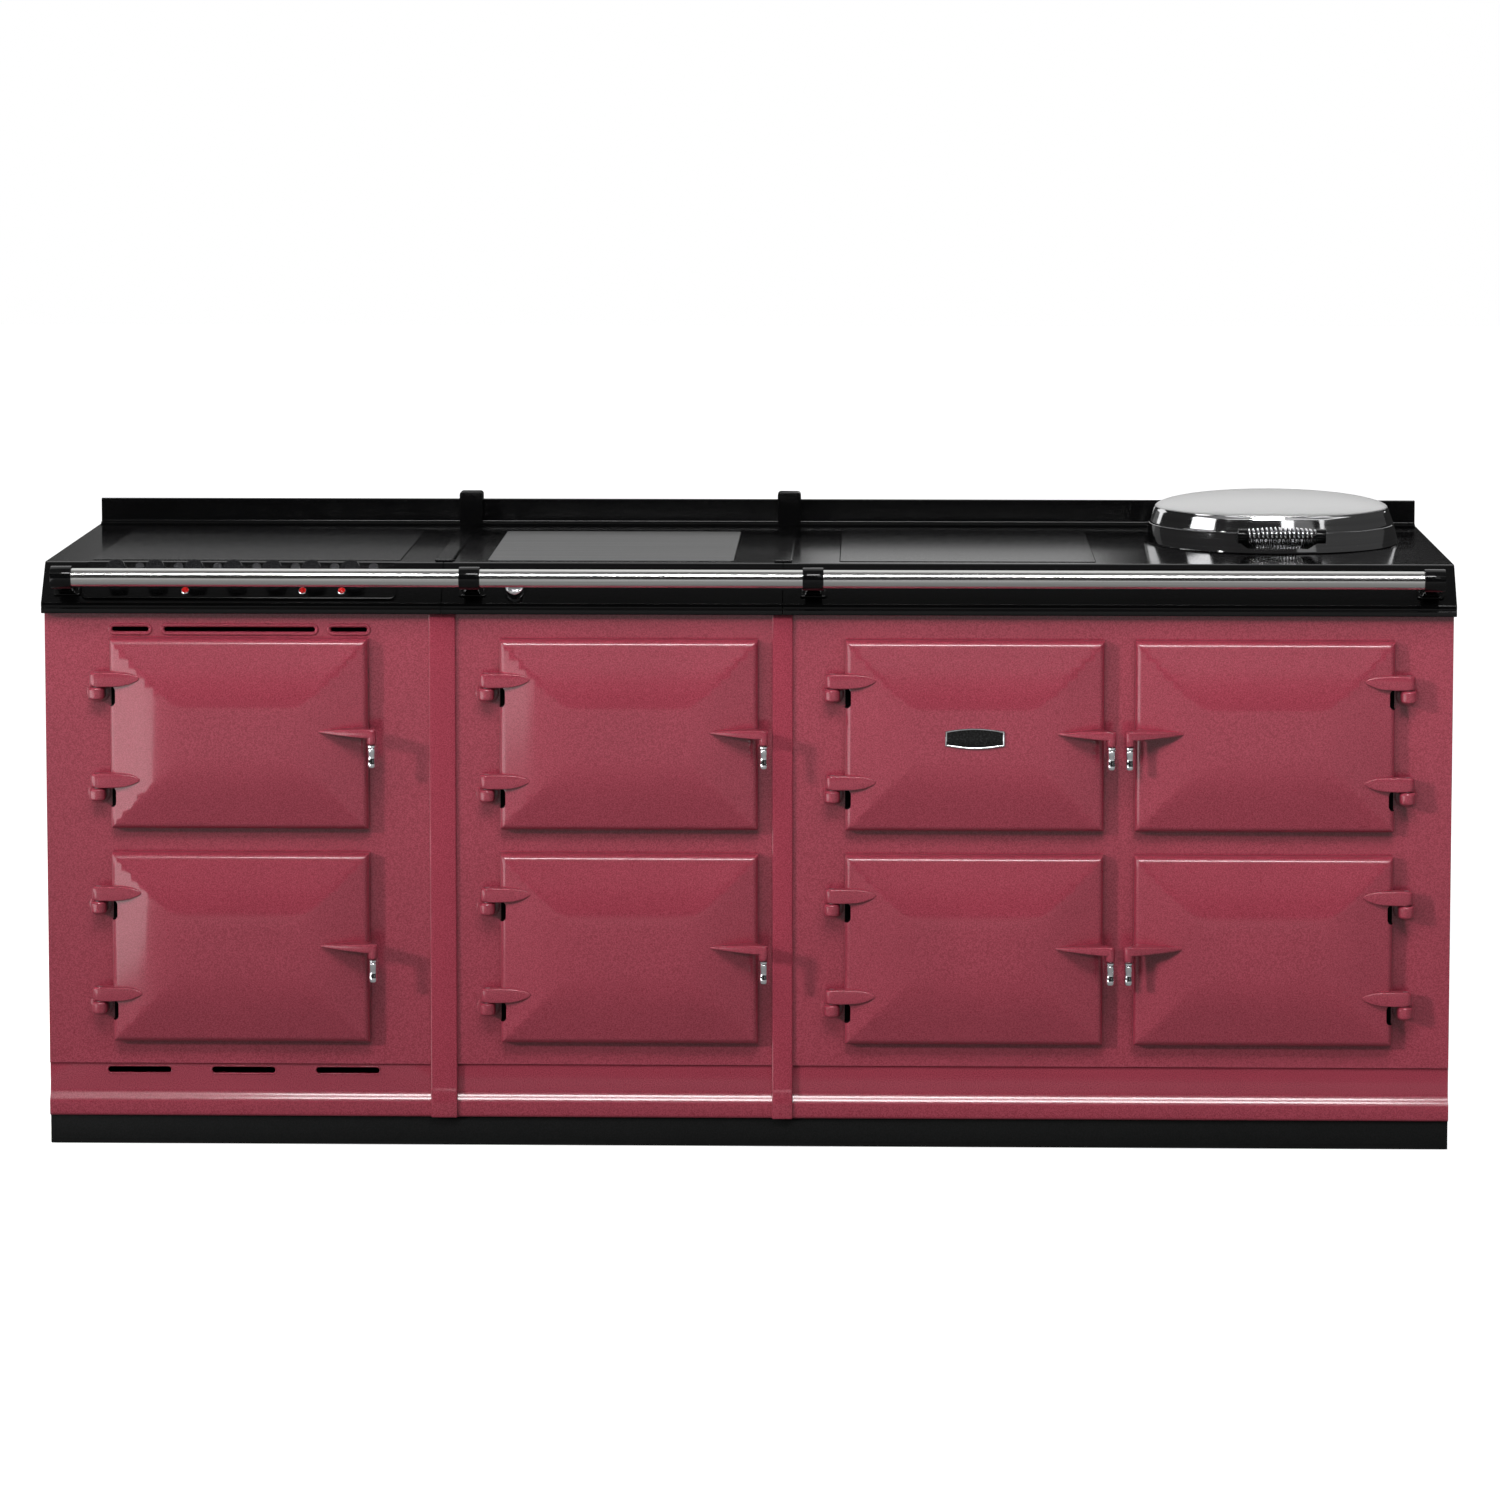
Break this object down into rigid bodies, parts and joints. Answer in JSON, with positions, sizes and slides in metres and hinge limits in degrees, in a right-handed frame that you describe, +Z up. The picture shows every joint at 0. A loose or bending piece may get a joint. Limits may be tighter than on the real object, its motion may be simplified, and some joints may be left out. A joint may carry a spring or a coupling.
{
  "type": "range cooker",
  "caption": "Three-module cast iron range cooker with hinged oven doors, hobs, a warming plate, a hotplate under a domed lid and towel rails.",
  "frame": {"origin": "on the floor, at the centre of the plan", "axes": "+X right as seen from the front, +Y towards the wall, +Z up"},
  "size_m": [2.105, 0.703, 0.958],
  "materials": {
    "enamel": "gloss",
    "casing_enamel": "satin",
    "black_enamel": "gloss",
    "chrome": "polished",
    "satin_steel": "satin",
    "warm_steel": "satin",
    "hob_glass": "gloss",
    "bare_iron": "satin",
    "oven_iron": "matte",
    "zinc_steel": "satin",
    "lining": "satin",
    "indicator": "gloss",
    "badge": "polished",
    "knob": "polished"
  },
  "bodies": {
    "cooker": {"plinth": "black_enamel", "levelling_feet": "zinc_steel", "casings": "casing_enamel", "front_plate_left": "enamel", "front_plate_middle": "enamel", "front_plate_right": "enamel", "skirt_panels": "enamel", "cover_strips": "enamel", "top_plate_left": "black_enamel", "top_plate_middle": "black_enamel", "top_plate_right": "black_enamel", "splashbacks": "black_enamel", "joint_covers": "black_enamel", "towel_rails": "satin_steel", "rail_brackets": "black_enamel", "glass_hobs": "hob_glass", "warming_plate": "warm_steel", "hotplate": "bare_iron", "control_panel": "black_enamel", "panel_indicators": "indicator", "oven_liners": "oven_iron", "oven_shelves": "chrome", "hinge_pins": "zinc_steel"},
    "left_low_door": {"left_low_door": "enamel", "left_low_lining": "lining", "left_low_grip": "chrome"},
    "left_top_door": {"left_top_door": "enamel", "left_top_lining": "lining", "left_top_grip": "chrome"},
    "middle_low_door": {"middle_low_door": "enamel", "middle_low_lining": "lining", "middle_low_grip": "chrome"},
    "middle_top_door": {"middle_top_door": "enamel", "middle_top_lining": "lining", "middle_top_grip": "chrome"},
    "inner_low_door": {"inner_low_door": "enamel", "inner_low_lining": "lining", "inner_low_grip": "chrome"},
    "inner_top_door": {"inner_top_door": "enamel", "inner_top_lining": "lining", "inner_top_grip": "chrome", "door_badge": "badge"},
    "outer_low_door": {"outer_low_door": "enamel", "outer_low_lining": "lining", "outer_low_grip": "chrome"},
    "outer_top_door": {"outer_top_door": "enamel", "outer_top_lining": "lining", "outer_top_grip": "chrome"},
    "lid": {"lid_dome": "satin_steel", "lid_ring": "chrome", "lid_coil": "chrome", "lid_handle_frame": "black_enamel"},
    "knob_1": {"knob_1": "knob"},
    "knob_2": {"knob_2": "knob"},
    "knob_3": {"knob_3": "knob"},
    "knob_4": {"knob_4": "knob"},
    "knob_5": {"knob_5": "knob"},
    "knob_6": {"knob_6": "knob"},
    "knob_7": {"knob_7": "knob"},
    "timer_knob": {"timer_knob": "knob"}
  },
  "joints": [
    {"name": "left_low_hinge", "type": "hinge", "parent": "cooker", "child": "left_low_door", "pos_m": [-0.97, -0.2935, 0.3045], "axis": [0, 0, -1], "range_deg": [0, 110]},
    {"name": "left_top_hinge", "type": "hinge", "parent": "cooker", "child": "left_top_door", "pos_m": [-0.97, -0.2935, 0.627], "axis": [0, 0, -1], "range_deg": [0, 110]},
    {"name": "middle_low_hinge", "type": "hinge", "parent": "cooker", "child": "middle_low_door", "pos_m": [-0.388, -0.2935, 0.3045], "axis": [0, 0, -1], "range_deg": [0, 110]},
    {"name": "middle_top_hinge", "type": "hinge", "parent": "cooker", "child": "middle_top_door", "pos_m": [-0.388, -0.2935, 0.627], "axis": [0, 0, -1], "range_deg": [0, 110]},
    {"name": "inner_low_hinge", "type": "hinge", "parent": "cooker", "child": "inner_low_door", "pos_m": [0.127, -0.2935, 0.3045], "axis": [0, 0, -1], "range_deg": [0, 110]},
    {"name": "inner_top_hinge", "type": "hinge", "parent": "cooker", "child": "inner_top_door", "pos_m": [0.127, -0.2935, 0.627], "axis": [0, 0, -1], "range_deg": [0, 110]},
    {"name": "outer_low_hinge", "type": "hinge", "parent": "cooker", "child": "outer_low_door", "pos_m": [0.982, -0.2935, 0.3045], "axis": [0, 0, 1], "range_deg": [0, 110]},
    {"name": "outer_top_hinge", "type": "hinge", "parent": "cooker", "child": "outer_top_door", "pos_m": [0.982, -0.2935, 0.627], "axis": [0, 0, 1], "range_deg": [0, 110]},
    {"name": "lid_hinge", "type": "hinge", "parent": "cooker", "child": "lid", "pos_m": [0.804, 0.3105, 0.898], "axis": [-1, 0, 0], "range_deg": [0, 80]},
    {"name": "knob_1_turn", "type": "hinge", "parent": "cooker", "child": "knob_1", "pos_m": [-0.9415, -0.2557, 0.85913], "axis": [0, 0.766, -0.6428], "range_deg": [0, 270]},
    {"name": "knob_2_turn", "type": "hinge", "parent": "cooker", "child": "knob_2", "pos_m": [-0.88308, -0.2557, 0.85913], "axis": [0, 0.766, -0.6428], "range_deg": [0, 270]},
    {"name": "knob_3_turn", "type": "hinge", "parent": "cooker", "child": "knob_3", "pos_m": [-0.82467, -0.2557, 0.85913], "axis": [0, 0.766, -0.6428], "range_deg": [0, 270]},
    {"name": "knob_4_turn", "type": "hinge", "parent": "cooker", "child": "knob_4", "pos_m": [-0.76625, -0.2557, 0.85913], "axis": [0, 0.766, -0.6428], "range_deg": [0, 270]},
    {"name": "knob_5_turn", "type": "hinge", "parent": "cooker", "child": "knob_5", "pos_m": [-0.70783, -0.2557, 0.85913], "axis": [0, 0.766, -0.6428], "range_deg": [0, 270]},
    {"name": "knob_6_turn", "type": "hinge", "parent": "cooker", "child": "knob_6", "pos_m": [-0.64942, -0.2557, 0.85913], "axis": [0, 0.766, -0.6428], "range_deg": [0, 270]},
    {"name": "knob_7_turn", "type": "hinge", "parent": "cooker", "child": "knob_7", "pos_m": [-0.591, -0.2557, 0.85913], "axis": [0, 0.766, -0.6428], "range_deg": [0, 270]},
    {"name": "timer_knob_turn", "type": "hinge", "parent": "cooker", "child": "timer_knob", "pos_m": [-0.346, -0.27049, 0.84151], "axis": [0, 0.766, -0.6428], "range_deg": [0, 270]}
  ]
}
